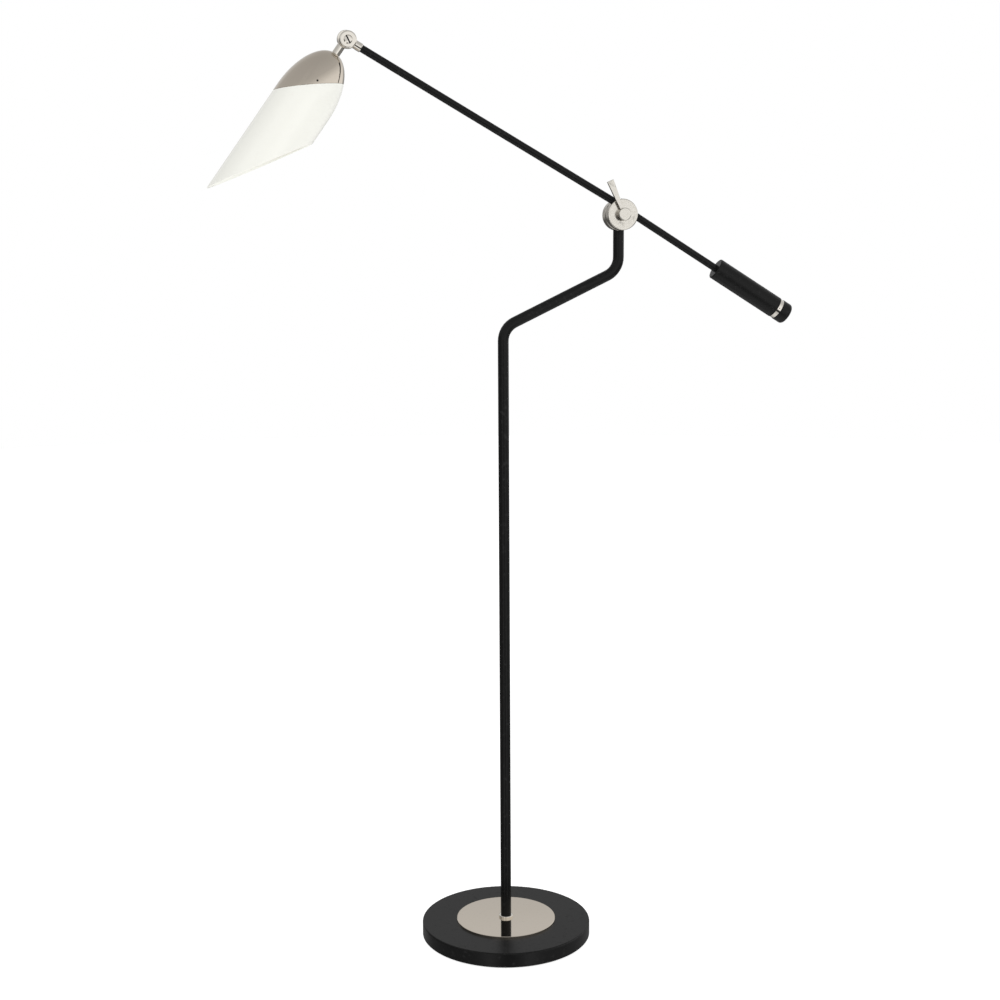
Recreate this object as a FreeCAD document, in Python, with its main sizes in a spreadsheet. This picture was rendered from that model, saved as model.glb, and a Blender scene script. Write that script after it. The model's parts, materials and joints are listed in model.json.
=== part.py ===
import FreeCAD, Part
import math
import os
import Sketcher

# Pharmacy floor lamp.  Millimetres, +Z up, +X toward the counterweight and
# -Y toward the front.  The origin is the middle of the base, on the floor.

V = FreeCAD.Vector

SIZES = {
    # weighted base
    "base_radius": 133.35,
    "base_top": 24.4,
    "pad_thick": 1.6,
    "pad_radius": 129,
    "recess_radius": 28,
    "recess_top": 10.6,
    "inlet_height": 8,
    "inlet_radius": 5,
    "plate_radius": 78.5,
    "plate_top": 27.2,
    "nipple_radius": 5,
    "collar_radius": 11.25,
    "collar_top": 30.8,
    # post
    "post_radius": 8.3,
    "post_wall": 1.45,
    "post_end": 1122,
    "bend_radius": 31,
    "lower_corner": 965.5,
    "upper_corner": 1051.8,
    # clutch
    "clutch_reach": 179.5,
    "clutch_height": 1134.4,
    "clutch_radius": 23.4,
    "rear_back": 9.4,
    "rear_front": 9,
    "friction_front": 12.8,
    "disc_back": 13,
    "disc_front": 26.25,
    "stud_radius": 3.175,
    "stud_end": 36,
    "running_gap": 0.05,
    "hub_radius": 9.6,
    "hub_back": 26.4,
    "hub_front": 39,
    "lever_angle": 23.6,
    "lever_root": 4.6,
    "lever_end": 53.9,
    "lever_narrow": 5.4,
    "lever_wide": 10.4,
    "lever_back": 27.3,
    "lever_thick": 6,
    "lever_taper": 2.4,
    # arm and counterweight
    "arm_depth": 19.4,
    "arm_radius": 5.5,
    "arm_bore": 4.3,
    "arm_slope": 29.85,
    "arm_offset": 10.6,
    "arm_root": 3,
    "arm_end": 461.5,
    "tail_slope": 31.81,
    "tail_offset": 9.4,
    "tail_end": 297,
    "weight_radius": 16.3,
    "weight_start": 168.8,
    "weight_split": 283,
    "ring_end": 289,
    "ring_radius": 15.6,
    "weight_end": 306,
    "grub_radius": 2,
    "grub_length": 4,
    # knuckle
    "knuckle_reach": 477.5,
    "knuckle_radius": 12.8,
    "knuckle_thick": 7.8,
    "knuckle_relief": 14,
    "ferrule_start": 455,
    "ferrule_radius": 6.6,
    "pivot_radius": 3,
    "pivot_head_radius": 6.3,
    "pivot_head_depth": 3,
    "stem_radius": 6,
    "spigot_radius": 4.75,
    # head, measured down the shade's axis from the tip of the dome
    "head_tilt": 35.4,
    "head_shift": 2.7,
    "dome_top": 25.9,
    "dome_length": 84,
    "shade_radius": 44,
    "shell_thick": 2.6,
    "cap_cut": 57.9,
    "cap_cut_slope": 0.8605,
    "mouth_cut": 195.6,
    "mouth_cut_slope": 1.6136,
    "mouth_round": 0.9,
    "shade_length": 290,
    "seat_depth": 0.8,
    "seat_inside": 3,
    "spigot_end": 20,
    "holder_radius": 17.5,
    "holder_top": 15,
    "holder_end": 52,
    "bulb_radius": 30,
    "bulb_centre": 102,
}


class Dim:
    """A length that knows both its number and its spreadsheet expression."""

    def __init__(self, value, text):
        self.value = value
        self.text = text

    def __add__(self, other):
        return combine(self, other, "+", self.value + number(other))

    def __radd__(self, other):
        return combine(other, self, "+", number(other) + self.value)

    def __sub__(self, other):
        return combine(self, other, "-", self.value - number(other))

    def __rsub__(self, other):
        return combine(other, self, "-", number(other) - self.value)

    def __mul__(self, other):
        return combine(self, other, "*", self.value * number(other))

    def __rmul__(self, other):
        return combine(other, self, "*", number(other) * self.value)

    def __truediv__(self, other):
        return combine(self, other, "/", self.value / number(other))

    def __neg__(self):
        return Dim(-self.value, "(-%s)" % self.text)


def number(thing):
    return thing.value if isinstance(thing, Dim) else float(thing)


def text(thing):
    return thing.text if isinstance(thing, Dim) else "%.6f" % thing


def combine(left, right, sign, value):
    return Dim(value, "(%s %s %s)" % (text(left), sign, text(right)))


def sine(angle):
    value = math.sin(math.radians(angle.value))
    return Dim(value, "sin(%s * 1 deg)" % angle.text)


def cosine(angle):
    value = math.cos(math.radians(angle.value))
    return Dim(value, "cos(%s * 1 deg)" % angle.text)


doc = FreeCAD.newDocument("floor_lamp")
sheet = doc.addObject("Spreadsheet::Sheet", "sizes")
for row, (word, amount) in enumerate(SIZES.items(), start=1):
    sheet.set("A%d" % row, word)
    sheet.set("B%d" % row, str(amount))
    sheet.setAlias("B%d" % row, word)
doc.recompute()


def size(word):
    return Dim(float(SIZES[word]), "sizes.%s" % word)


made = []


def bind(thing, prop, amount):
    """Give a property its value from the spreadsheet."""
    if isinstance(amount, Dim):
        thing.setExpression(prop, amount.text)
    else:
        setattr(thing, prop, amount)


def new_body(label, origin=(0, 0, 0), turn=0):
    """A body at a place in the lamp, turned about the lamp's Y axis."""
    body = doc.addObject("PartDesign::Body", label)
    body.Label = label
    spin = FreeCAD.Rotation(V(0, 1, 0), number(turn))
    body.Placement = FreeCAD.Placement(V(*[number(c) for c in origin]), spin)
    for letter, amount in zip("xyz", origin):
        if isinstance(amount, Dim):
            body.setExpression("Placement.Base.%s" % letter, amount.text)
    if isinstance(turn, Dim):
        body.setExpression("Placement.Rotation.Angle", "%s * 1 deg" % turn.text)
    made.append(body)
    return body


def plane_of(body, role):
    for feature in body.Origin.OriginFeatures:
        if feature.Role == role:
            return feature
    raise ValueError("no plane called " + role)


def new_sketch(body, role, lift=0):
    """A sketch on one of the body's own planes, moved along its normal."""
    sketch = body.newObject("Sketcher::SketchObject", body.Name + "_sketch")
    sketch.AttachmentSupport = (plane_of(body, role), [""])
    sketch.MapMode = "FlatFace"
    shift = FreeCAD.Placement(V(0, 0, number(lift)), FreeCAD.Rotation())
    sketch.AttachmentOffset = shift
    if isinstance(lift, Dim):
        sketch.setExpression("AttachmentOffset.Base.z", lift.text)
    return sketch


def measure(sketch, kind, members, amount):
    """Add one driving dimension and tie it to the spreadsheet."""
    index = sketch.addConstraint(Sketcher.Constraint(kind, *members, number(amount)))
    if isinstance(amount, Dim):
        sketch.setExpression("Constraints[%d]" % index, amount.text)


def pin(sketch, item, end, across, up):
    """Fix a point of the sketch at (across, up)."""
    for kind, axis, amount in (("DistanceX", -2, across), ("DistanceY", -1, up)):
        if number(amount) == 0:
            place = Sketcher.Constraint("PointOnObject", item, end, axis)
            sketch.addConstraint(place)
        else:
            measure(sketch, kind, (-1, 1, item, end), amount)


def outline(sketch, points):
    """A closed outline of straight lines, every corner pinned."""
    first = sketch.GeometryCount
    corners = [V(number(x), number(y), 0) for x, y in points]
    count = len(corners)
    for i in range(count):
        sketch.addGeometry(Part.LineSegment(corners[i], corners[(i + 1) % count]))
    for i in range(count):
        follow = first + (i + 1) % count
        join = Sketcher.Constraint("Coincident", first + i, 2, follow, 1)
        sketch.addConstraint(join)
    for i, (x, y) in enumerate(points):
        pin(sketch, first + i, 1, x, y)


def circle(sketch, across, up, radius):
    centre = V(number(across), number(up), 0)
    item = sketch.addGeometry(Part.Circle(centre, V(0, 0, 1), number(radius)))
    measure(sketch, "Radius", (item,), radius)
    pin(sketch, item, 3, across, up)


def revolve(body, sketch, axis, kind="Revolution"):
    feature = body.newObject("PartDesign::" + kind, body.Name + "_turned")
    feature.Profile = sketch
    feature.ReferenceAxis = (sketch, [axis])
    feature.Angle = 360
    doc.recompute()
    return feature


def turned(label, points, axis="Z", origin=(0, 0, 0), turn=0):
    """A body of revolution; points are (radius, place along the axis)."""
    body = new_body(label, origin, turn)
    sketch = new_sketch(body, "XZ_Plane" if axis == "Z" else "XY_Plane")
    if axis == "X":
        points = [(along, radius) for radius, along in points]
    outline(sketch, points)
    revolve(body, sketch, "H_Axis" if axis == "X" else "V_Axis")
    return body


def extrude(body, sketch, length, kind="Pad", both_ways=False, flip=False):
    feature = body.newObject("PartDesign::" + kind, body.Name + "_" + kind.lower())
    feature.Profile = sketch
    bind(feature, "Length", length)
    feature.Midplane = both_ways
    feature.Reversed = flip
    doc.recompute()
    return feature


AXIS_TURNS = {
    "+Z": FreeCAD.Rotation(),
    "+X": FreeCAD.Rotation(V(0, 1, 0), 90),
    "+Y": FreeCAD.Rotation(V(1, 0, 0), -90),
}


def rod_feature(body, kind, radius, start, length, turn):
    feature = body.newObject("PartDesign::" + kind, body.Name + "_round")
    bind(feature, "Radius", radius)
    bind(feature, "Height", length)
    place = FreeCAD.Placement(V(*[number(c) for c in start]), turn)
    feature.Placement = place
    for letter, amount in zip("xyz", start):
        if isinstance(amount, Dim):
            feature.setExpression("Placement.Base.%s" % letter, amount.text)
    doc.recompute()
    return feature


def drill(body, radius, start, length, axis="+Z"):
    """A round hole from start, running length along the body's own axis."""
    turn = AXIS_TURNS[axis] if isinstance(axis, str) else axis
    before = body.Shape.Volume
    rod_feature(body, "SubtractiveCylinder", radius, start, length, turn)
    if not body.Shape.Volume < before - 0.01:
        raise ValueError("a hole missed " + body.Label)


def soften(body, radius, wanted, kind="Fillet"):
    """Round or bevel the edges that wanted(edge) picks."""
    tip = body.Tip
    names = []
    for i, edge in enumerate(tip.Shape.Edges, start=1):
        if wanted(edge):
            names.append("Edge%d" % i)
    if not names:
        raise ValueError("no edges to soften on " + body.Label)
    feature = body.newObject("PartDesign::" + kind, body.Name + "_" + kind.lower())
    feature.Base = (tip, names)
    bind(feature, "Radius" if kind == "Fillet" else "Size", radius)
    doc.recompute()
    return feature


def round_edge(radius, along, axis):
    """A test for a circular edge of one radius at one place on an axis."""

    def test(edge):
        if not isinstance(edge.Curve, Part.Circle):
            return False
        centre = edge.Curve.Center
        place = {"X": centre.x, "Y": centre.y, "Z": centre.z}[axis]
        same_size = abs(edge.Curve.Radius - number(radius)) < 0.01
        return same_size and abs(place - number(along)) < 0.01

    return test


def set_screw(foot, spin, radius, length):
    """A headless screw with a six-sided socket in its outer end."""
    shank = doc.addObject("Part::Cylinder", "shank")
    bind(shank, "Radius", radius)
    bind(shank, "Height", length)
    shank.Placement = FreeCAD.Placement(foot, spin)
    socket = doc.addObject("Part::Prism", "socket")
    socket.Polygon = 6
    bind(socket, "Circumradius", radius * 0.55)
    bind(socket, "Height", length)
    mouth = foot + spin.multVec(V(0, 0, number(length) * 0.6))
    socket.Placement = FreeCAD.Placement(mouth, spin)
    screw = doc.addObject("Part::Cut", "set_screw")
    screw.Base = shank
    screw.Tool = socket
    return screw


def screw_set(label, screws):
    """Several loose screws that share one file."""
    group = doc.addObject("Part::Compound", label)
    group.Label = label
    group.Links = screws
    made.append(group)


FIT = 0.02

# ---------------------------------------------------------------- base
base_radius = size("base_radius")
base_top = size("base_top")
pad_thick = size("pad_thick")
plate_top = size("plate_top")
nipple_radius = size("nipple_radius")
recess_radius = size("recess_radius")
recess_top = size("recess_top")

turned("base_pad", [
    (0, 0),
    (size("pad_radius"), 0),
    (size("pad_radius"), pad_thick),
    (0, pad_thick),
])

base = turned("base_disc", [
    (nipple_radius + 0.2, recess_top),
    (recess_radius, recess_top),
    (recess_radius, pad_thick),
    (base_radius - 1.2, pad_thick),
    (base_radius, pad_thick + 1.2),
    (base_radius, base_top),
    (nipple_radius + 0.2, base_top),
])
soften(base, 2.2, round_edge(base_radius, base_top, "Z"))
drill(base, size("inlet_radius"), (0, recess_radius - 4, size("inlet_height")), 120, "+Y")

turned("inlay_plate", [
    (nipple_radius + 0.2, base_top),
    (size("plate_radius"), base_top),
    (size("plate_radius"), plate_top - 0.5),
    (size("plate_radius") - 0.5, plate_top),
    (nipple_radius + 0.2, plate_top),
])

collar = turned("foot_collar", [
    (size("post_radius") + FIT, plate_top),
    (size("collar_radius"), plate_top),
    (size("collar_radius"), size("collar_top")),
    (size("post_radius") + FIT, size("collar_top")),
])
soften(collar, 1, round_edge(size("collar_radius"), size("collar_top"), "Z"))

turned("base_nipple", [
    (nipple_radius - 1.5, 3),
    (nipple_radius, 3),
    (nipple_radius, plate_top + 18),
    (nipple_radius - 1.5, plate_top + 18),
])

turned("base_washer", [
    (nipple_radius + FIT, recess_top - 1.6),
    (13, recess_top - 1.6),
    (13, recess_top),
    (nipple_radius + FIT, recess_top),
])

nut = new_body("base_nut")
nut_sketch = new_sketch(nut, "XY_Plane", recess_top - 6.6)
nut_corner = 9.2
outline(nut_sketch, [
    (nut_corner * math.cos(math.radians(a)), nut_corner * math.sin(math.radians(a)))
    for a in range(30, 390, 60)
])
circle(nut_sketch, 0, 0, nipple_radius + FIT)
extrude(nut, nut_sketch, 5)

turned("inlet_bushing", [
    (2.9, 0),
    (size("inlet_radius") - FIT, 0),
    (size("inlet_radius") - FIT, 12.2),
    (7.2, 12.2),
    (7.2, 14),
    (2.9, 14),
], "Y", (0, base_radius - 12.2, size("inlet_height")))

# ---------------------------------------------------------------- post
post_radius = size("post_radius")
post_end = size("post_end")
reach = size("clutch_reach")
bend = size("bend_radius")
lower = size("lower_corner")
upper = size("upper_corner")


def post_path(body, start, finish):
    """The post's centre line: up, over at a slope, and up again."""
    sketch = new_sketch(body, "XZ_Plane")
    slope = math.atan2(upper.value - lower.value, reach.value)
    turn = math.pi / 2 - slope
    setback = bend.value * math.tan(turn / 2)
    run = V(math.cos(slope), math.sin(slope), 0)
    rise = V(0, 1, 0)
    low = V(0, lower.value, 0)
    high = V(reach.value, upper.value, 0)
    before_low = low - rise * setback
    after_low = low + run * setback
    before_high = high - run * setback
    after_high = high + rise * setback
    low_centre = before_low + V(bend.value, 0, 0)
    high_centre = after_high - V(bend.value, 0, 0)
    flat = V(0, 0, 1)
    low_circle = Part.Circle(low_centre, flat, bend.value)
    high_circle = Part.Circle(high_centre, flat, bend.value)
    low_arc = Part.ArcOfCircle(low_circle, math.pi - turn, math.pi)
    high_arc = Part.ArcOfCircle(high_circle, -turn, 0)
    sketch.addGeometry(Part.LineSegment(V(0, number(start), 0), before_low))
    sketch.addGeometry(low_arc)
    sketch.addGeometry(Part.LineSegment(after_low, before_high))
    sketch.addGeometry(high_arc)
    sketch.addGeometry(Part.LineSegment(after_high, V(reach.value, number(finish), 0)))
    for a, a_end, b, b_end in ((0, 2, 1, 2), (1, 1, 2, 1), (2, 2, 3, 1), (3, 2, 4, 1)):
        sketch.addConstraint(Sketcher.Constraint("Tangent", a, a_end, b, b_end))
    sketch.addConstraint(Sketcher.Constraint("Vertical", 0))
    sketch.addConstraint(Sketcher.Constraint("Vertical", 4))
    pin(sketch, 0, 1, 0, start)
    pin(sketch, 4, 2, reach, finish)
    measure(sketch, "Radius", (1,), bend)
    measure(sketch, "Radius", (3,), bend)
    measure(sketch, "DistanceY", (-1, 1, 0, 2), before_low.y)
    measure(sketch, "DistanceY", (-1, 1, 4, 1), after_high.y)
    return sketch


def swept(label, radii, start, finish):
    body = new_body(label)
    ring = new_sketch(body, "XY_Plane", start)
    for radius in radii:
        circle(ring, 0, 0, radius)
    path = post_path(body, start, finish)
    pipe = body.newObject("PartDesign::AdditivePipe", label + "_pipe")
    pipe.Profile = ring
    pipe.Spine = path
    doc.recompute()
    return body


swept("post", [post_radius, post_radius - size("post_wall")], plate_top, post_end)
swept("post_lead", [2.4], 6, post_end - 4)

turned("post_plug", [
    (nipple_radius + FIT, plate_top),
    (post_radius - size("post_wall") - FIT, plate_top),
    (post_radius - size("post_wall") - FIT, plate_top + 20),
    (nipple_radius + FIT, plate_top + 20),
])

# -------------------------------------------------------------- clutch
height = size("clutch_height")
clutch = (reach, 0, height)
clutch_radius = size("clutch_radius")
stud_radius = size("stud_radius")
gap = size("running_gap")


def disc_points(inner, outer, back, front, bevel):
    """A washer-shaped section; back and front are distances toward the viewer."""
    return [
        (inner, -back),
        (outer - bevel, -back),
        (outer, -back - bevel),
        (outer, -front + bevel),
        (outer - bevel, -front),
        (inner, -front),
    ]


rear = turned(
    "clutch_rear",
    disc_points(stud_radius + FIT, clutch_radius, -size("rear_back"), size("rear_front"), 0.9),
    "Y", clutch)
drill(rear, post_radius + FIT, (0, 0, -clutch_radius - 1),
      post_end - height + clutch_radius + 1 + FIT)

turned("friction_washer", disc_points(
    stud_radius + FIT, 18.5, size("rear_front"), size("friction_front"), 0.3), "Y", clutch)

bolt = turned("clutch_bolt", [
    (0, size("rear_back") + 3.4),
    (6, size("rear_back") + 3.4),
    (7.2, size("rear_back") + 2.4),
    (7.2, size("rear_back")),
    (stud_radius, size("rear_back")),
    (stud_radius, -size("stud_end")),
    (0, -size("stud_end")),
], "Y", clutch)
key = new_sketch(bolt, "XZ_Plane", -size("rear_back") - 3.4)
outline(key, [
    (3.2 * math.cos(math.radians(a)), 3.2 * math.sin(math.radians(a)))
    for a in range(0, 360, 60)
])
extrude(bolt, key, 2.2, "Pocket", flip=True)

# --------------------------------------------------------- clamp lever
hub_radius = size("hub_radius")
lever_back = size("lever_back")
lever_thick = size("lever_thick")
lever_narrow = size("lever_narrow")
hub = turned("lever_hub", [
    (stud_radius + gap, -size("hub_back")),
    (hub_radius - 0.5, -size("hub_back")),
    (hub_radius, -size("hub_back") - 0.5),
    (hub_radius, -size("hub_front")),
    (0, -size("hub_front")),
    (0, -size("stud_end") - 0.4),
    (stud_radius + gap, -size("stud_end") - 0.4),
], "Y", clutch, -size("lever_angle"))
soften(hub, 1.4, round_edge(hub_radius, -size("hub_front"), "Y"))
slot = new_sketch(hub, "XZ_Plane", lever_back - FIT)
outline(slot, [
    (-lever_narrow / 2 - FIT, size("lever_root") - FIT),
    (lever_narrow / 2 + FIT, size("lever_root") - FIT),
    (lever_narrow / 2 + FIT, 12),
    (-lever_narrow / 2 - FIT, 12),
])
extrude(hub, slot, lever_thick + 2 * FIT, "Pocket", flip=True)

bar = new_body("lever_bar", clutch, -size("lever_angle"))
bar_sketch = new_sketch(bar, "XZ_Plane", lever_back)
outline(bar_sketch, [
    (-lever_narrow / 2, size("lever_root")),
    (lever_narrow / 2, size("lever_root")),
    (lever_narrow / 2, hub_radius + 0.4),
    (size("lever_wide") / 2, size("lever_end")),
    (-size("lever_wide") / 2, size("lever_end")),
    (-lever_narrow / 2, hub_radius + 0.4),
])
extrude(bar, bar_sketch, lever_thick)
wedge = new_sketch(bar, "YZ_Plane")
outline(wedge, [
    (-lever_back, hub_radius + 2),
    (-lever_back - size("lever_taper"), size("lever_end")),
    (-lever_back - size("lever_taper"), size("lever_end") + 2),
    (4 - lever_back, size("lever_end") + 2),
    (4 - lever_back, hub_radius + 2),
])
extrude(bar, wedge, 30, "Pocket", both_ways=True)


def on_handle(edge):
    """The lever's long front and back edges, and those round its tip."""
    middle = edge.valueAt((edge.FirstParameter + edge.LastParameter) / 2)
    if middle.z > number(size("lever_end")) - 0.1:
        return True
    return middle.z > number(hub_radius) + 5 and abs(middle.x) > 1


soften(bar, 0.6, on_handle)

# ----------------------------------------------------------------- arm
# The arm's own frame: X runs down the arm toward the counterweight.
arm_slope = size("arm_slope")
arm_radius = size("arm_radius")
arm_depth = size("arm_depth")
arm_offset = size("arm_offset")
arm_root = size("arm_root")
arm_frame = (
    reach + arm_offset * sine(arm_slope),
    -arm_depth,
    height + arm_offset * cosine(arm_slope),
)
tail_slope = size("tail_slope")
tail_offset = size("tail_offset")
tail_frame = (
    reach + tail_offset * sine(tail_slope),
    -arm_depth,
    height + tail_offset * cosine(tail_slope),
)

disc = turned("clutch_front", [
    (stud_radius + gap, -size("disc_back")),
    (clutch_radius - 0.9, -size("disc_back")),
    (clutch_radius, -size("disc_back") - 0.9),
    (clutch_radius, -size("disc_front")),
    (stud_radius + gap, -size("disc_front")),
], "Y", clutch, arm_slope)
soften(disc, 1.5, round_edge(clutch_radius, -size("disc_front"), "Y"))
drill(disc, arm_radius + FIT, (-40, -arm_depth, arm_offset), 40 - arm_root + FIT, "+X")
grub_radius = size("grub_radius")
grub_length = size("grub_length")
drill(disc, grub_radius + FIT, (-11, -arm_depth, arm_offset), 20)

# The tail's bore and its screw lean a little more than the disc's own frame.
lean = FreeCAD.Rotation(V(0, 1, 0), tail_slope.value - arm_slope.value)
for along, radius, length, axis in (
        (arm_root.value - FIT, arm_radius, 40, "+X"),
        (11, grub_radius, 20, "+Z")):
    start = lean.multVec(V(along, 0, tail_offset.value))
    drill(disc, radius + FIT, (start.x, -arm_depth, start.z), length,
          lean * AXIS_TURNS[axis])

turned("arm_tube", [
    (size("arm_bore"), -size("arm_end")),
    (arm_radius, -size("arm_end")),
    (arm_radius, -arm_root),
    (size("arm_bore"), -arm_root),
], "X", arm_frame, arm_slope)

turned("arm_lead", [
    (0, -size("arm_end") + 2),
    (2.4, -size("arm_end") + 2),
    (2.4, -arm_root - 4),
    (0, -arm_root - 4),
], "X", arm_frame, arm_slope)

turned("tail_rod", [
    (0, arm_root),
    (arm_radius, arm_root),
    (arm_radius, size("tail_end")),
    (0, size("tail_end")),
], "X", tail_frame, tail_slope)

weight_radius = size("weight_radius")
weight_start = size("weight_start")
weight_split = size("weight_split")
ring_end = size("ring_end")
weight_end = size("weight_end")
barrel = turned("weight_barrel", [
    (arm_radius + FIT, weight_start),
    (weight_radius, weight_start),
    (weight_radius, weight_split),
    (arm_radius + FIT, weight_split),
], "X", tail_frame, tail_slope)
soften(barrel, 1.8, round_edge(weight_radius, weight_start, "X"))
soften(barrel, 0.6, round_edge(weight_radius, weight_split, "X"))
drill(barrel, grub_radius + FIT, (weight_start + 20, 0, -weight_radius - 2), weight_radius - 2)

ring = turned("weight_ring", [
    (arm_radius + FIT, weight_split),
    (size("ring_radius"), weight_split),
    (size("ring_radius"), ring_end),
    (arm_radius + FIT, ring_end),
], "X", tail_frame, tail_slope)
soften(ring, 0.3, round_edge(size("ring_radius"), weight_split, "X"))
soften(ring, 0.3, round_edge(size("ring_radius"), ring_end, "X"))
drill(ring, 0.9, (weight_split + 2.8, 8 - size("ring_radius"), 0), 12,
      FreeCAD.Rotation(V(1, 0, 0), 90))

end_cap = turned("weight_cap", [
    (arm_radius + FIT, ring_end),
    (weight_radius, ring_end),
    (weight_radius, weight_end),
    (0, weight_end),
    (0, size("tail_end") + 0.2),
    (arm_radius + FIT, size("tail_end") + 0.2),
], "X", tail_frame, tail_slope)
soften(end_cap, 0.6, round_edge(weight_radius, ring_end, "X"))
soften(end_cap, 5, round_edge(weight_radius, weight_end, "X"))

# The set screws hold the two rods in the disc, and the weight on its rod.
screws = []
for along, frame, slope, face_down in (
        (-11, arm_frame, arm_slope, False),
        (11, tail_frame, tail_slope, False),
        (weight_start.value + 20, tail_frame, tail_slope, True)):
    spin = FreeCAD.Rotation(V(0, 1, 0), number(slope))
    if face_down:
        spin = spin * FreeCAD.Rotation(V(0, 0, 1), V(0, 0, -1))
    along_rod = FreeCAD.Rotation(V(0, 1, 0), number(slope)).multVec(V(along, 0, 0))
    foot = V(*[number(c) for c in frame]) + along_rod
    foot = foot + spin.multVec(V(0, 0, arm_radius.value))
    screws.append(set_screw(foot, spin, grub_radius, grub_length))
screw_set("arm_set_screws", screws)

# ------------------------------------------------------------- knuckle
knuckle_radius = size("knuckle_radius")
knuckle_thick = size("knuckle_thick")
knuckle_reach = size("knuckle_reach")
relief = size("knuckle_relief")
pivot_radius = size("pivot_radius")
pivot_head = size("pivot_head_radius")
pivot_depth = size("pivot_head_depth")
washer_thick = 1.6
seam = 0.9
ferrule = size("ferrule_start")
pivot = (
    arm_frame[0] - knuckle_reach * cosine(arm_slope),
    -arm_depth,
    arm_frame[2] + knuckle_reach * sine(arm_slope),
)

front = turned("knuckle_front", [
    (pivot_radius + gap, -seam),
    (knuckle_radius - 0.7, -seam),
    (knuckle_radius, -seam - 0.7),
    (knuckle_radius, -seam - knuckle_thick),
    (pivot_head + 0.25, -seam - knuckle_thick),
    (pivot_head + 0.25, -seam - knuckle_thick + pivot_depth),
    (pivot_radius + gap, -seam - knuckle_thick + pivot_depth),
], "Y", pivot, arm_slope)
soften(front, 2.4, round_edge(knuckle_radius, -seam - knuckle_thick, "Y"))
sleeve = new_sketch(front, "YZ_Plane", knuckle_reach - ferrule)
circle(sleeve, 0, 0, size("ferrule_radius"))
extrude(front, sleeve, knuckle_reach - ferrule - pivot_head - 1, "Pad", flip=True)
soften(front, 0.6, round_edge(size("ferrule_radius"), knuckle_reach - ferrule, "X"), "Chamfer")
drill(front, knuckle_radius + size("head_shift") + 0.8, (0, -seam, 0), 12, "+Y")
drill(front, arm_radius + FIT, (knuckle_reach - size("arm_end"), 0, 0), 30, "+X")

turned("knuckle_washer", disc_points(
    pivot_radius + FIT, 12.2, seam - 0.1 - washer_thick, seam - 0.1, 0.1),
    "Y", pivot, size("head_tilt"))

head_tilt = size("head_tilt")
dome_top = size("dome_top")
spigot = size("spigot_radius")
seat = size("seat_depth")
shift = size("head_shift")
head = (
    pivot[0] - shift * cosine(head_tilt),
    -arm_depth,
    pivot[2] + shift * sine(head_tilt),
)
back_half = turned("knuckle_rear", [
    (0, knuckle_thick + seam - 0.1),
    (knuckle_radius, knuckle_thick + seam - 0.1),
    (knuckle_radius, seam + 0.6),
    (knuckle_radius - 0.7, seam - 0.1),
    (0, seam - 0.1),
], "Y", head, head_tilt)
soften(back_half, 2.4, round_edge(knuckle_radius, knuckle_thick + seam - 0.1, "Y"))
stem = new_sketch(back_half, "XY_Plane", -dome_top - seat)
circle(stem, 0, 0, size("stem_radius"))
extrude(back_half, stem, dome_top + seat - 3, "Pad")
drill(back_half, relief, (shift, -14, 0), 14 + seam - 0.1, "+Y")
thread = new_sketch(back_half, "XY_Plane", -dome_top - size("spigot_end"))
circle(thread, 0, 0, spigot)
extrude(back_half, thread, size("spigot_end") - seat, "Pad")
drill(back_half, 2.6, (0, 0, -dome_top - size("spigot_end") - 1), size("spigot_end") + 12)
drill(back_half, pivot_radius + FIT, (shift, -1, 0), 7.6, "+Y")

screw = turned("pivot_screw", [
    (0, 6),
    (pivot_radius, 6),
    (pivot_radius, -seam - knuckle_thick + pivot_depth - 0.1),
    (pivot_head, -seam - knuckle_thick + pivot_depth - 0.1),
    (pivot_head, -seam - knuckle_thick + 0.3),
    (pivot_head - 1.6, -seam - knuckle_thick - 0.5),
    (0, -seam - knuckle_thick - 0.9),
], "Y", pivot, -26)
slot = new_sketch(screw, "XZ_Plane", seam + knuckle_thick + 2)
outline(slot, [(-1, -7), (1, -7), (1, 7), (-1, 7)])
extrude(screw, slot, 2.4, "Pocket")

# --------------------------------------------------------------- shade
# Places down the shade are heights below the tip of the dome.
dome_length = size("dome_length")
shade_radius = size("shade_radius")
shell_thick = size("shell_thick")


def level(depth):
    return -dome_top - depth


def dome_arc(sketch, radius, length):
    """A quarter ellipse from the axis down to the straight wall."""
    centre = V(0, number(level(dome_length)), 0)
    ellipse = Part.Ellipse(centre + V(0, length.value, 0),
                           centre - V(radius.value, 0, 0), centre)
    arc = sketch.addGeometry(Part.ArcOfEllipse(ellipse, 1.5 * math.pi, 2 * math.pi))
    sketch.exposeInternalGeometry(arc)
    long_axis = arc + 1
    sketch.addConstraint(Sketcher.Constraint("Vertical", long_axis))
    pin(sketch, arc, 3, 0, level(dome_length))
    pin(sketch, arc, 2, 0, level(dome_length) + length)
    pin(sketch, arc, 1, radius, level(dome_length))
    return arc


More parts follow.
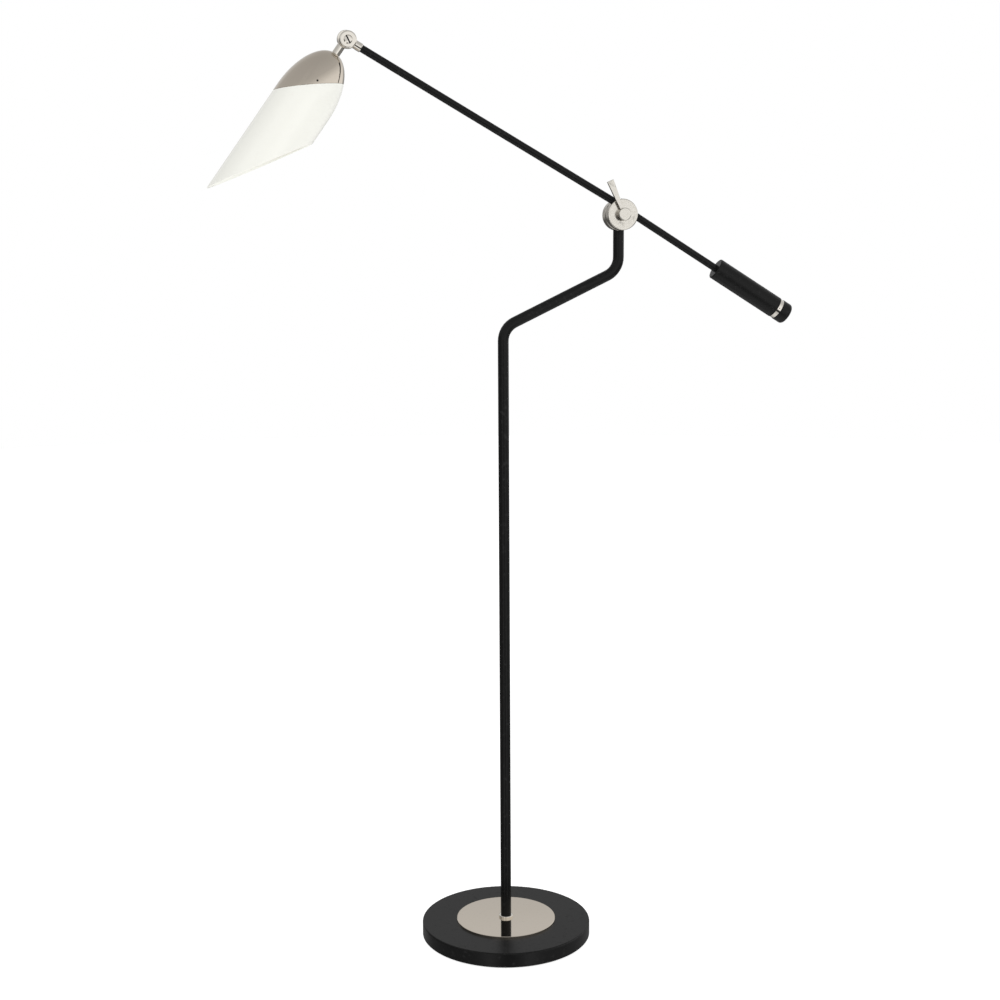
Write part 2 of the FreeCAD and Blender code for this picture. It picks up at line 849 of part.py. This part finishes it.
def shell(label, outer, inner):
    """The shade's full skin, before its slanting cuts."""
    body = new_body(label, head, head_tilt)
    sketch = new_sketch(body, "XZ_Plane")
    foot = level(size("shade_length"))
    outside = dome_arc(sketch, shade_radius - outer, dome_length - outer)
    inside = dome_arc(sketch, shade_radius - inner, dome_length - inner)
    corners = [
        V(shade_radius.value - number(outer), number(level(dome_length)), 0),
        V(shade_radius.value - number(outer), number(foot), 0),
        V(shade_radius.value - number(inner), number(foot), 0),
        V(shade_radius.value - number(inner), number(level(dome_length)), 0),
    ]
    walls = []
    for i in range(3):
        walls.append(sketch.addGeometry(Part.LineSegment(corners[i], corners[i + 1])))
    top = sketch.addGeometry(Part.LineSegment(
        V(0, number(level(0)) - number(inner), 0), V(0, number(level(0)) - number(outer), 0)))
    links = (
        (outside, 1, walls[0], 1),
        (walls[0], 2, walls[1], 1),
        (walls[1], 2, walls[2], 1),
        (walls[2], 2, inside, 1),
        (top, 1, inside, 2),
        (top, 2, outside, 2),
    )
    for link in links:
        sketch.addConstraint(Sketcher.Constraint("Coincident", *link))
    pin(sketch, walls[0], 2, shade_radius - outer, foot)
    pin(sketch, walls[1], 2, shade_radius - inner, foot)
    revolve(body, sketch, "V_Axis")
    return body


def slant_cut(body, depth, slope, keep_above):
    """Trim a shell along a plane that slants down toward its -X side."""
    side = 60
    reach_out = 400 if keep_above else -200
    sketch = new_sketch(body, "XZ_Plane")
    outline(sketch, [
        (-side, level(depth) - slope * side),
        (side, level(depth) + slope * side),
        (side, level(reach_out)),
        (-side, level(reach_out)),
    ])
    before = body.Shape.Volume
    extrude(body, sketch, 4 * side, "Pocket", both_ways=True)
    if not body.Shape.Volume < before - 1:
        raise ValueError("a slanting cut missed " + body.Label)


def on_slant(depth, slope):
    """A test for the edges that lie in one of the shade's slanting cuts."""

    def test(edge):
        ends = (edge.FirstParameter, edge.LastParameter)
        spots = [edge.valueAt(sum(ends) / 2)] + [edge.valueAt(t) for t in ends]
        return all(abs(number(level(depth)) + number(slope) * p.x - p.z) < 0.01 for p in spots)

    return test


cap_cut = size("cap_cut")
cap_slope = size("cap_cut_slope")
cap = shell("shade_cap", 0 * shell_thick, shell_thick)
slant_cut(cap, cap_cut, cap_slope, True)
soften(cap, 0.35, on_slant(cap_cut, cap_slope))
drill(cap, spigot + FIT, (0, 0, level(12)), 20)
drill(cap, size("stem_radius") + 0.1, (0, 0, level(seat)), 12)
drill(cap, 8.6, (0, 0, level(14)), 14 - size("seat_inside"))

glass = shell("shade_glass", 0 * shell_thick, shell_thick)
slant_cut(glass, cap_cut + 0.2, cap_slope, False)
slant_cut(glass, size("mouth_cut"), size("mouth_cut_slope"), True)
soften(glass, size("mouth_round"), on_slant(size("mouth_cut"), size("mouth_cut_slope")))

band = shell("glass_sleeve", shell_thick + 0.05, shell_thick + 1.2)
slant_cut(band, cap_cut - 14, cap_slope, False)
slant_cut(band, cap_cut + 12, cap_slope, True)

# Three small screws, one at the front, hold the sleeve inside the cap's edge.
SCREW_PLACES = ((-90, 52), (30, 27), (150, 84))


def dome_radius(depth):
    rise = 1 - min(depth, dome_length.value) / dome_length.value
    return shade_radius.value * math.sqrt(1 - rise * rise)


screws = []
tilt = FreeCAD.Rotation(V(0, 1, 0), head_tilt.value)
for around, depth in SCREW_PLACES:
    spin = FreeCAD.Rotation(V(0, 0, 1), around) * AXIS_TURNS["+X"]
    drill(cap, 1.5 + FIT, (0, 0, level(depth)), 60, spin)
    drill(band, 1.5 + FIT, (0, 0, level(depth)), 60, spin)
    inner_end = V(0, 0, dome_radius(depth - 1.5) - 3.6)
    local = V(0, 0, number(level(depth))) + spin.multVec(inner_end)
    foot = V(*[number(c) for c in head]) + tilt.multVec(local)
    screws.append(set_screw(foot, tilt * spin, 1.5, 3.4))
screw_set("cap_screws", screws)

stem_nut = new_body("stem_nut", head, head_tilt)
stem_nut_sketch = new_sketch(stem_nut, "XY_Plane", level(size("seat_inside") + 4.5))
outline(stem_nut_sketch, [
    (8 * math.cos(math.radians(a)), 8 * math.sin(math.radians(a)))
    for a in range(30, 390, 60)
])
circle(stem_nut_sketch, 0, 0, spigot + FIT)
extrude(stem_nut, stem_nut_sketch, 4.5)

# ---------------------------------------------------------- lamp holder
holder_radius = size("holder_radius")
holder_top = size("holder_top")
holder_end = size("holder_end")
turned("holder_cup", [
    (spigot + FIT, level(holder_top)),
    (holder_radius - 4, level(holder_top)),
    (holder_radius, level(holder_top + 6)),
    (holder_radius, level(holder_end)),
    (holder_radius - 2.4, level(holder_end)),
    (holder_radius - 2.4, level(holder_top + 8)),
    (spigot + FIT, level(holder_top + 8)),
], "Z", head, head_tilt)

turned("holder_shell", [
    (13.1, level(holder_top + 11)),
    (13.1, level(holder_end - 4)),
    (holder_radius - 2.4 - FIT, level(holder_end - 4)),
    (holder_radius - 2.4 - FIT, level(holder_end - 6)),
    (13.7, level(holder_end - 6)),
    (13.7, level(holder_top + 8)),
    (6, level(holder_top + 8)),
    (6, level(holder_top + 8.6)),
    (13.1, level(holder_top + 8.6)),
], "Z", head, head_tilt)

turned("holder_contact", [
    (0, level(size("spigot_end") + 0.4)),
    (3.6, level(size("spigot_end") + 0.4)),
    (3.6, level(holder_top + 10.6)),
    (0, level(holder_top + 10.6)),
], "Z", head, head_tilt)

turned("bulb_base", [
    (0, level(holder_top + 10.8)),
    (4.6, level(holder_top + 10.8)),
    (9, level(holder_top + 13)),
    (13, level(holder_top + 14.5)),
    (13, level(holder_end)),
    (12.3, level(holder_end)),
    (12.3, level(holder_top + 16)),
    (0, level(holder_top + 14)),
], "Z", head, head_tilt)

bulb_radius = size("bulb_radius")
bulb_centre = size("bulb_centre")
bulb = new_body("bulb_glass", head, head_tilt)
bulb_sketch = new_sketch(bulb, "XZ_Plane")
neck_top = level(holder_end - 4)
shoulder = 40.0
neck = 12.2


def bulb_points(inset):
    """Where the neck, the flare and the ball of the envelope meet."""
    radius = bulb_radius.value - inset
    centre = number(level(bulb_centre))
    edge = math.radians(shoulder)
    neck_end = V(neck - inset, number(level(holder_end + 8)), 0)
    ball = V(radius * math.cos(edge), centre + radius * math.sin(edge), 0)
    bottom = V(0, centre - radius, 0)
    return neck_end, ball, bottom, V(0, centre, 0), radius


loops = []
for inset in (0, 1.0):
    neck_end, ball, bottom, centre, radius = bulb_points(inset)
    start = V(neck - inset, number(neck_top), 0)
    ball_circle = Part.Circle(centre, V(0, 0, 1), radius)
    neck_line = bulb_sketch.addGeometry(Part.LineSegment(start, neck_end))
    flare = bulb_sketch.addGeometry(Part.LineSegment(neck_end, ball))
    arc = bulb_sketch.addGeometry(Part.ArcOfCircle(
        ball_circle, -math.pi / 2, math.radians(shoulder)))
    join = Sketcher.Constraint
    bulb_sketch.addConstraint(join("Coincident", neck_line, 2, flare, 1))
    bulb_sketch.addConstraint(join("Coincident", flare, 2, arc, 2))
    pin(bulb_sketch, neck_line, 1, neck - inset, neck_top)
    pin(bulb_sketch, neck_line, 2, neck - inset, level(holder_end + 8))
    pin(bulb_sketch, arc, 3, 0, level(bulb_centre))
    measure(bulb_sketch, "Radius", (arc,), bulb_radius - inset)
    bulb_sketch.addConstraint(join("PointOnObject", arc, 1, -2))
    measure(bulb_sketch, "DistanceX", (-1, 1, arc, 2), ball.x)
    loops.append((neck_line, arc, start, bottom))
lip = bulb_sketch.addGeometry(Part.LineSegment(loops[0][2], loops[1][2]))
end = bulb_sketch.addGeometry(Part.LineSegment(loops[0][3], loops[1][3]))
for link in ((lip, 1, loops[0][0], 1), (lip, 2, loops[1][0], 1),
             (end, 1, loops[0][1], 1), (end, 2, loops[1][1], 1)):
    bulb_sketch.addConstraint(Sketcher.Constraint("Coincident", *link))
revolve(bulb, bulb_sketch, "V_Axis")

turned("head_lead", [
    (0, -16),
    (2, -16),
    (2, level(size("spigot_end"))),
    (0, level(size("spigot_end"))),
], "Z", head, head_tilt)

# --------------------------------------------------------------- export
doc.recompute()
for thing in doc.Objects:
    bad = [word for word in thing.State if word in ("Invalid", "Error")]
    if bad:
        raise ValueError("%s is %s" % (thing.Label, bad))
for thing in made:
    shape = thing.Shape
    if shape.isNull() or not shape.isValid() or shape.Volume <= 0:
        raise ValueError("bad shape: " + thing.Label)
os.makedirs("parts", exist_ok=True)
for thing in made:
    thing.Shape.exportStep(os.path.join("parts", thing.Label + ".step"))
    print("%-18s %12.1f mm3" % (thing.Label, thing.Shape.Volume))
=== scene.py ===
import json
import math

import bpy
from mathutils import Euler, Matrix, Vector


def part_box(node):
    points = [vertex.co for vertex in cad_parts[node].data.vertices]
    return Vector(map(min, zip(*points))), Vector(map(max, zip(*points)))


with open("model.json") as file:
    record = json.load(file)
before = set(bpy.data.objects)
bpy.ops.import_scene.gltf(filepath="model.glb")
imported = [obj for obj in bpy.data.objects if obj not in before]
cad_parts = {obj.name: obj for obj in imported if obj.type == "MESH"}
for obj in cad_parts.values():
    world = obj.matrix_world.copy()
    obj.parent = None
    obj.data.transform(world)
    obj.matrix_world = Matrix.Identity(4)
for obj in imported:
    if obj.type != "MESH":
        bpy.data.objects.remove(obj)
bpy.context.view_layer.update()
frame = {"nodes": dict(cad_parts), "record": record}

nodes = frame["nodes"]
scene = bpy.context.scene

# ------------------------------------------------------------------ camera
# Places are in metres, angles in degrees, the lens and its film in millimetres.
CAMERA_PLACE = (-0.4422, -2.3521, 1.0574)
CAMERA_ANGLES = (81.554, 0.0, -10.50)
CAMERA_ROLL = -0.30
CAMERA_LENS = 56.54
CAMERA_FILM = 36
CAMERA_REACH = 50


def add_camera():
    """The viewer stands in front, a little to the left, at chest height."""
    lens = bpy.data.cameras.new("viewer")
    lens.lens = CAMERA_LENS
    lens.sensor_width = CAMERA_FILM
    lens.clip_end = CAMERA_REACH
    viewer = bpy.data.objects.new("viewer", lens)
    scene.collection.objects.link(viewer)
    turn = Euler([math.radians(angle) for angle in CAMERA_ANGLES]).to_matrix().to_4x4()
    roll = Matrix.Rotation(math.radians(CAMERA_ROLL), 4, "Z")
    viewer.matrix_world = Matrix.Translation(CAMERA_PLACE) @ turn @ roll
    scene.camera = viewer


add_camera()


# ---------------------------------------------------------- finish making
# The sockets of a Mix node that is set to colour.
MIX_AMOUNT, MIX_LOW, MIX_HIGH, MIX_COLOUR = 0, 6, 7, 2
# Specks come in patches: how many patches there are to one speck along a line, the level
# of the patches' noise below which there are no specks, how sharply a patch ends, and how
# many times its own size a speck's soft rim reaches.
PATCH_SCALE = 0.21
PATCH_LEVEL = 0.62
PATCH_FALL = -3.0
SPECK_RIM = 4


class Socket:
    """A value in a material; arithmetic on it adds Math nodes."""

    def __init__(self, finish, link):
        self.finish = finish
        self.link = link

    def maths(self, other, operation, swap=False):
        first, second = (other, self) if swap else (self, other)
        values = {0: first, 1: second}
        return self.finish.node("ShaderNodeMath", {"operation": operation}, values)

    def __add__(self, other):
        return self.maths(other, "ADD")

    def __radd__(self, other):
        return self.maths(other, "ADD", True)

    def __sub__(self, other):
        return self.maths(other, "SUBTRACT")

    def __rsub__(self, other):
        return self.maths(other, "SUBTRACT", True)

    def __mul__(self, other):
        return self.maths(other, "MULTIPLY")

    def __rmul__(self, other):
        return self.maths(other, "MULTIPLY", True)

    def __truediv__(self, other):
        return self.maths(other, "DIVIDE")

    def __rtruediv__(self, other):
        return self.maths(other, "DIVIDE", True)


class Finish:
    """One material with a Principled shader; what is the same all over is given by word."""

    def __init__(self, name, **fixed):
        self.material = bpy.data.materials.new(name)
        self.material.use_nodes = True
        self.tree = self.material.node_tree
        self.shader = self.tree.nodes["Principled BSDF"]
        for word, amount in fixed.items():
            self.shader.inputs[word.replace("_", " ")].default_value = amount

    def node(self, kind, settings=None, values=None, out=0):
        """Any node: its settings first, then the values or links of its sockets."""
        node = self.tree.nodes.new(kind)
        for word, setting in (settings or {}).items():
            if word == "stops":
                fill_ramp(node.color_ramp, setting)
            else:
                setattr(node, word, setting)
        for place, value in (values or {}).items():
            self.feed(node.inputs[place], value)
        return Socket(self, node.outputs[out])

    def feed(self, target, value):
        if isinstance(value, Socket):
            self.tree.links.new(value.link, target)
        else:
            target.default_value = value

    def set(self, word, value):
        self.feed(self.shader.inputs[word], value)

    def place(self):
        """The point on the surface, on the object's own axes."""
        return self.node("ShaderNodeTexCoord", out="Object")

    def facing(self):
        """Which way the surface faces, on the object's own axes."""
        return self.node("ShaderNodeTexCoord", out="Normal")

    def axis(self, vector, letter):
        return self.node("ShaderNodeSeparateXYZ", {}, {0: vector}, out=letter)

    def unsigned(self, value):
        return self.node("ShaderNodeMath", {"operation": "ABSOLUTE"}, {0: value})

    def stretched(self, scale, turn):
        """The point again, turned and then drawn out, for marks that run one way."""
        values = {"Vector": self.place(), "Scale": scale, "Rotation": turn}
        return self.node("ShaderNodeMapping", {}, values)

    def noise(self, scale, detail=2.0, rough=0.5, where=None):
        values = {"Vector": where or self.place(), "Scale": scale, "Detail": detail,
                  "Roughness": rough}
        return self.node("ShaderNodeTexNoise", {}, values, out="Fac")

    def speckle(self, scale, size):
        """Small round marks, 1 at their middle, scattered without order."""
        values = {"Vector": self.place(), "Scale": scale}
        gap = self.node("ShaderNodeTexVoronoi", {}, values, out="Distance")
        chosen = self.noise(scale * PATCH_SCALE, 0.0)
        return self.ramp(gap + (chosen - PATCH_LEVEL) * PATCH_FALL,
                         (size, grey(1.0)), (size * SPECK_RIM, grey(0.0)))

    def mix(self, amount, low, high):
        """From the low colour to the high one as the amount goes from 0 to 1."""
        values = {MIX_AMOUNT: amount, MIX_LOW: low, MIX_HIGH: high}
        return self.node("ShaderNodeMix", {"data_type": "RGBA"}, values, out=MIX_COLOUR)

    def ramp(self, value, *stops):
        return self.node("ShaderNodeValToRGB", {"stops": stops}, {0: value}, out="Color")

    def bump(self, height, distance):
        values = {"Height": height, "Distance": distance, "Strength": 1.0}
        self.set("Normal", self.node("ShaderNodeBump", {}, values))


def fill_ramp(ramp, stops):
    while len(ramp.elements) < len(stops):
        ramp.elements.new(0.5)
    for element, (place, colour) in zip(ramp.elements, stops):
        element.position = place
        element.color = colour


def grey(level, warmth=0.0):
    return (level * (1 + warmth), level, level * (1 - warmth), 1.0)


# ---------------------------------------------------------------- finishes
# A noise's scale is about the number of its blobs in one metre, a speckle's that of its
# specks, and the height of a bump is in metres. Nickel varies from a dull tone to a bright
# one.
WARM_TONES = (0.615, 0.55, 0.465, 1), (0.655, 0.59, 0.51, 1)
BRIGHT_TONES = (0.75, 0.71, 0.64, 1), (0.82, 0.785, 0.72, 1)
# The slot of the pivot screw, which is painted black as a painted shade: how far its top leans
# to the left, in degrees, then how far from its middle line the painted black ends and the
# nickel begins, in metres. The scale only brings those two lengths to between 0 and 1, which is
# as far as a ramp reaches.
SLOT_LEAN = 26
SLOT_SCALE = 0.002
SLOT_BLACK = 0.0010
SLOT_NICKEL = 0.0012


def powder_black():
    """Baked black powder: a fine orange peel, a little rubbed, with pale specks of dust."""
    finish = Finish("powder_black", Specular_IOR_Level=0.19)
    cloud = finish.noise(9.0, 3.0)
    peel = finish.noise(620.0, 1.0)
    grain = finish.noise(1700.0, 2.0)
    speck = finish.speckle(900.0, 0.045)
    colour = finish.mix(cloud, grey(0.0040), grey(0.0070))
    finish.set("Base Color", finish.mix(speck * 0.35, colour, grey(0.03)))
    finish.set("Roughness", 0.25 + cloud * 0.08 + grain * 0.08 + speck * 0.15)
    finish.bump(peel * 0.6 + grain * 0.4, 0.00006)
    return finish.material


def polished_nickel(name, dull, bright, rough):
    """Nickel buffed to a mirror: faint cloudiness, hairline marks and pin specks."""
    finish = Finish(name, Metallic=1.0)
    cloud = finish.noise(14.0, 3.0)
    hairs = finish.noise(60.0, 4.0, 0.7, finish.stretched((1.0, 6.0, 14.0), (0.5, 0.3, 0.9)))
    speck = finish.speckle(700.0, 0.03)
    colour = finish.mix(cloud * 0.7 + hairs * 0.3, dull, bright)
    finish.set("Base Color", finish.mix(speck * 0.25, colour, dull))
    finish.set("Roughness", rough + cloud * 0.02 + hairs * 0.03 + speck * 0.05)
    finish.bump(hairs, 0.000002)
    return finish.material


def satin_nickel():
    """Cast nickel, tumbled rather than buffed: grainy faces, and turned flanks darkened by a
    painted shade.
    """
    finish = Finish("satin_nickel", Metallic=1.0)
    cloud = finish.noise(90.0, 3.0)
    grain = finish.noise(900.0, 3.0, 0.7)
    speck = finish.speckle(520.0, 0.06)
    face = finish.ramp(grain, (0.32, (0.56, 0.53, 0.475, 1)), (0.5, (0.71, 0.68, 0.62, 1)),
                       (0.66, (0.83, 0.805, 0.75, 1)))
    # Faces that don't point along the Y axis, the turned flanks, get a painted shade: a darker
    # colour by which way they face.
    facing = finish.unsigned(finish.axis(finish.facing(), "Y"))
    painted_flank_shade = finish.ramp(facing, (0.45, grey(0.8)), (0.85, grey(0.0)))
    # The painted shade on the flanks mixes toward a dark brown nickel.
    tone = finish.mix(painted_flank_shade, face, (0.40, 0.36, 0.30, 1))
    finish.set("Base Color", finish.mix(speck * 0.5, tone, (0.42, 0.40, 0.36, 1)))
    finish.set("Roughness", 0.12 + cloud * 0.06 + grain * 0.08 + speck * 0.1)
    finish.bump(grain, 0.00002)
    return finish.material


def slotted_screw():
    """The pivot screw: bright nickel, with a painted shade in black along the slot that is cut
    in its head.
    """
    finish = Finish("slotted_screw")
    low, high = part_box("pivot_screw")
    middle = [(a + b) / 2 for a, b in zip(low, high)]
    local = finish.node("ShaderNodeVectorMath", {"operation": "SUBTRACT"},
                        {0: finish.place(), 1: middle})
    across, up = (finish.axis(local, letter) for letter in "XZ")
    lean = math.radians(SLOT_LEAN)
    away = finish.unsigned(across * math.cos(lean) + up * math.sin(lean))
    slot = finish.ramp(away * (1 / SLOT_SCALE), (SLOT_BLACK / SLOT_SCALE, grey(1.0)),
                       (SLOT_NICKEL / SLOT_SCALE, grey(0.0)))
    cloud = finish.noise(90.0, 3.0)
    colour = finish.mix(cloud, *BRIGHT_TONES)
    # The black along the slot is painted shade, with no metal and a rough face.
    finish.set("Base Color", finish.mix(slot, colour, (0.012, 0.011, 0.010, 1)))
    finish.set("Metallic", 1.0 - slot)
    finish.set("Roughness", 0.02 + cloud * 0.03 + slot * 0.5)
    return finish.material


def opal_glass():
    """Blown opal glass: milky, faintly cloudy, with slow waves and a few seeds, and a faint
    painted glow of its own, though the lamp is not lit.
    """
    finish = Finish("opal_glass", Emission_Strength=0.18)
    cloud = finish.noise(11.0, 2.0)
    seed = finish.speckle(420.0, 0.02)
    milk = finish.mix(cloud, (0.69, 0.69, 0.64, 1), (0.72, 0.72, 0.67, 1))
    finish.set("Base Color", finish.mix(seed * 0.2, milk, (0.66, 0.64, 0.59, 1)))
    finish.set("Roughness", 0.18 + cloud * 0.08)
    # The warm white of the glass's painted glow.
    finish.set("Emission Color", (1.0, 0.99, 0.94, 1.0))
    finish.bump(finish.noise(25.0, 1.0), 0.0002)
    return finish.material


def plain(name, low, high, rough, metal=0.0, scale=60.0, depth=0.00003):
    """A plain finish with a little cloudiness and grain."""
    finish = Finish(name, Metallic=metal)
    cloud = finish.noise(scale, 3.0)
    grain = finish.noise(scale * 20, 2.0)
    finish.set("Base Color", finish.mix(cloud, low, high))
    finish.set("Roughness", rough + cloud * 0.08 + grain * 0.08)
    finish.bump(grain, depth)
    return finish.material


FINISHES = {
    "powder_black": powder_black(),
    "nickel_polished": polished_nickel("warm_nickel", *WARM_TONES, 0.02),
    "nickel_satin": satin_nickel(),
    "opal_glass": opal_glass(),
    "steel": plain("zinc_steel", grey(0.42), grey(0.55), 0.3, metal=1.0),
    "screw_dark": plain("black_oxide", grey(0.02), grey(0.04), 0.35, metal=0.6),
    "brass_plain": plain("plain_brass", (0.62, 0.45, 0.18, 1), (0.75, 0.57, 0.26, 1), 0.2,
                         metal=1.0),
    "bulb_frosted": plain("frosted_bulb", grey(0.85), grey(0.9), 0.35),
    "bulb_metal": plain("bulb_cap", grey(0.6), grey(0.72), 0.22, metal=1.0),
    "holder_porcelain": plain("porcelain", grey(0.75, 0.02), grey(0.82, 0.02), 0.12),
    "felt": plain("foam_pad", grey(0.02), grey(0.045), 0.8, scale=90.0, depth=0.0003),
    "bushing_rubber": plain("bushing_rubber", grey(0.015), grey(0.025), 0.6),
    "friction_fibre": plain("friction_fibre", grey(0.02), grey(0.035), 0.7),
    "lead_jacket": plain("lead_jacket", grey(0.03), grey(0.04), 0.5),
}
# Pieces whose finish is their own, and not the one that their material slot stands for.
BRIGHT_PARTS = ("foot_collar", "weight_ring", "knuckle_front", "knuckle_rear")
OWN_FINISH = dict.fromkeys(
    BRIGHT_PARTS, polished_nickel("bright_nickel", *BRIGHT_TONES, 0.012))
OWN_FINISH["pivot_screw"] = slotted_screw()
MATERIAL_SLOT = {part["node"]: part["material_slot"] for part in frame["record"]["subparts"]}


def dress(piece, finish):
    piece.data.materials.clear()
    piece.data.materials.append(finish)


for name, piece in nodes.items():
    dress(piece, OWN_FINISH.get(name) or FINISHES[MATERIAL_SLOT[name]])


# ------------------------------------------------------------------- stage
scene.view_settings.view_transform = "Standard"
ROUND_SIDES = 96
FLOOR_RADIUS = 7.5
FLOOR_DROP = 0.0006
SHELL_RADIUS = 8.0
SHELL_MIDDLE = 0.9
# What the studio shows: pairs of an angle above the horizon, in degrees, and a level.
OPEN_LIGHT = ((-90, 0.80), (-45, 0.40), (-20, 0.10), (-5, 0.10), (0, 0.30), (11, 0.38),
              (18, 0.72), (28, 0.70), (45, 0.55), (90, 0.50))
BACK_LEFT_LIGHT = ((-90, 0.80), (-45, 0.40), (-8, 0.10), (-1, 0.72), (25, 0.68), (90, 0.50))
RIGHT_LIGHT = ((-90, 0.80), (-50, 0.75), (-28, 0.22), (-9, 0.22), (-2, 0.9), (2, 1.05),
               (17, 0.95), (37, 0.60), (90, 0.50))
LEFT_LIGHT = ((-90, 0.80), (-45, 0.40), (-24, 0.10), (11, 0.10), (21, 0.60), (90, 0.50))
PANEL_LIGHT = ((-90, 0.80), (-45, 1.15), (-10, 1.15), (2, 1.10), (17, 0.95), (37, 0.60),
               (90, 0.50))
# Each side in turn, over the ones before it: its azimuth, counted from the right by way of
# the back, how far to each side of that it has faded out and is full, and what it shows.
SIDES = (
    (130, 31, 18, BACK_LEFT_LIGHT),
    (-25, 80, 63, RIGHT_LIGHT),
    (160, 37, 26, LEFT_LIGHT),
    (-122, 11, 7, PANEL_LIGHT),
    (-69, 11, 7, PANEL_LIGHT),
)
# The dark gap in front, below eye height: its azimuth and widths, its heights, its level.
GAP_SIDE = (-95.5, 20, 15)
GAP_HEIGHTS = ((-45, 0.0), (-38, 1.0), (-7, 1.0), (-3, 0.0))
GAP_LEVEL = 0.03
# The key light, above and to the front left.
KEY_PLACE = (-1.6, -1.8, 3.2)
KEY_AIM = (-0.1, 0, 0.8)
KEY_WIDTH = 2.0
KEY_POWER = 22


def add_floor():
    """A pale floor, plain all round, that doesn't show in the metal."""
    bpy.ops.object.select_all(action="DESELECT")
    bpy.ops.mesh.primitive_circle_add(vertices=ROUND_SIDES, radius=FLOOR_RADIUS,
                                      fill_type="NGON", location=(0, 0, -FLOOR_DROP))
    floor = bpy.context.object
    floor.name = "studio_floor"
    floor.visible_glossy = False
    finish = Finish("studio_floor", Roughness=0.95, Emission_Strength=0.85)
    finish.set("Base Color", finish.mix(finish.noise(2.0), grey(0.60), grey(0.61)))
    finish.set("Emission Color", grey(1.0))
    dress(floor, finish.material)


def add_shell():
    """The soft light all round, as a studio of large panels shows in polished metal."""
    bpy.ops.object.select_all(action="DESELECT")
    bpy.ops.mesh.primitive_uv_sphere_add(segments=ROUND_SIDES, ring_count=ROUND_SIDES // 2,
                                         radius=SHELL_RADIUS, location=(0, 0, SHELL_MIDDLE))
    shell = bpy.context.object
    shell.name = "studio_shell"
    shell.visible_camera = False
    bpy.ops.object.shade_smooth()
    finish = Finish("studio_shell", Roughness=1.0, Emission_Strength=1.0)
    finish.set("Base Color", grey(0.0))
    right, back, height = (
        finish.axis(finish.place(), letter) / SHELL_RADIUS for letter in "XYZ")
    # The hair over 1 keeps the root from reaching 0 at the very top and bottom.
    level = finish.node("ShaderNodeMath", {"operation": "SQRT"}, {0: 1.0001 - height * height})
    rise = height * 0.5 + 0.5

    def toward(azimuth, faded, full):
        """1 within some degrees of an azimuth, falling to 0 at a wider angle."""
        turn = math.radians(azimuth)
        near = (right * math.cos(turn) + back * math.sin(turn)) / level
        return finish.ramp(near, (math.cos(math.radians(faded)), grey(0.0)),
                           (math.cos(math.radians(full)), grey(1.0)))

    def by_height(stops):
        """A level of light for each angle above or below the horizon."""
        return finish.ramp(rise, *(
            (math.sin(math.radians(angle)) * 0.5 + 0.5, grey(light)) for angle, light in stops))

    light = by_height(OPEN_LIGHT)
    for azimuth, faded, full, stops in SIDES:
        light = finish.mix(toward(azimuth, faded, full), light, by_height(stops))
    gap = toward(*GAP_SIDE) * by_height(GAP_HEIGHTS)
    finish.set("Emission Color", finish.mix(gap, light, grey(GAP_LEVEL)))
    dress(shell, finish.material)


def add_light(name, place, aim, width, power):
    """A soft square light that gives shape but no bright patch in the metal."""
    lamp = bpy.data.lights.new(name, "AREA")
    lamp.shape = "SQUARE"
    lamp.size = width
    lamp.energy = power
    holder = bpy.data.objects.new(name, lamp)
    scene.collection.objects.link(holder)
    way = Vector(aim) - Vector(place)
    holder.rotation_euler = way.to_track_quat("-Z", "Y").to_euler()
    holder.location = place
    holder.visible_glossy = False


def add_world(level):
    """Plain white, past the edge of the floor."""
    world = bpy.data.worlds.new("studio")
    world.use_nodes = True
    background = world.node_tree.nodes["Background"]
    background.inputs["Color"].default_value = grey(1.0)
    background.inputs["Strength"].default_value = level
    scene.world = world


add_floor()
add_shell()
add_world(1.0)
add_light("soft_key", KEY_PLACE, KEY_AIM, KEY_WIDTH, KEY_POWER)
